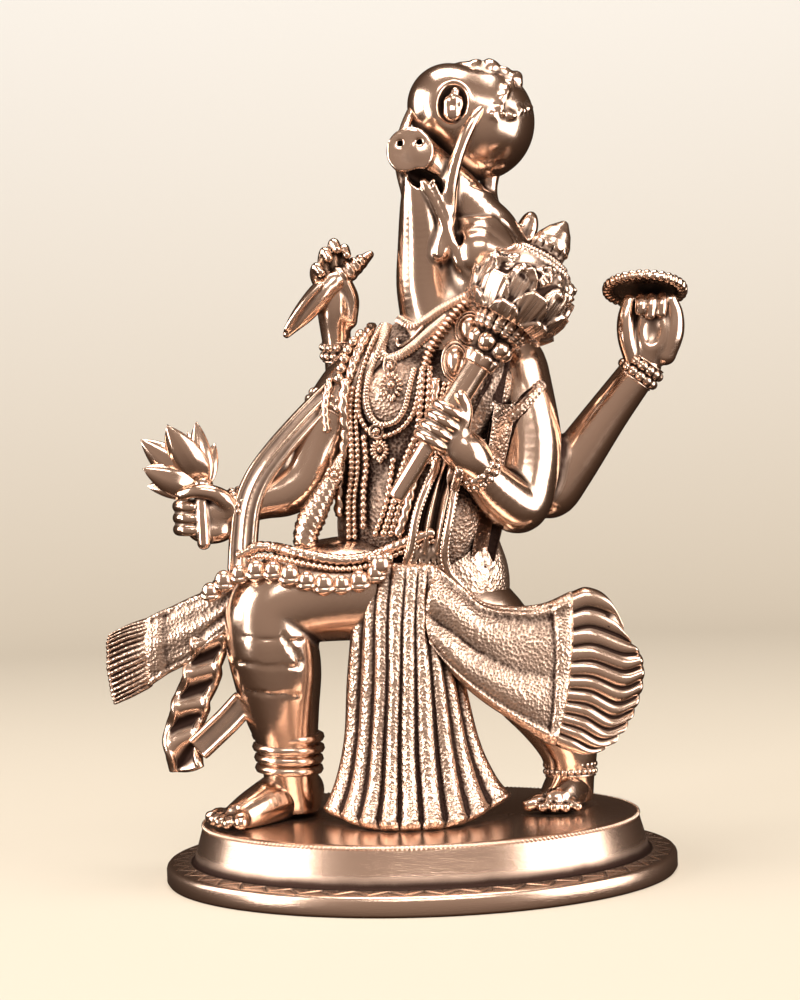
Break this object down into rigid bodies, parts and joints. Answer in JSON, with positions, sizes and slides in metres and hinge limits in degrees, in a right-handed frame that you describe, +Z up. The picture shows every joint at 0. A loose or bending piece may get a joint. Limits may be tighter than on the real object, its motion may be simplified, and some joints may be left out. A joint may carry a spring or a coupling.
{
  "type": "varaha figure with its plinth",
  "caption": "Cast brass figure of a boar-headed deity in a lunge, lifting a globe on the tusks, on an oval plinth.",
  "frame": {"origin": "centre of the plinth's underside", "axes": "+Z up, +X along the plinth's long axis to the viewer's right, -Y towards the viewer, whom the figure faces"},
  "size_m": [0.2267, 0.15, 0.3117],
  "materials": {
    "figure_brass": "polished on the raised forms, dark brown patina in the recesses",
    "plinth_brass": "satin, brushed around the wall"
  },
  "bodies": {
    "root": {"figure": "figure_brass", "plinth": "plinth_brass"}
  },
  "joints": []
}
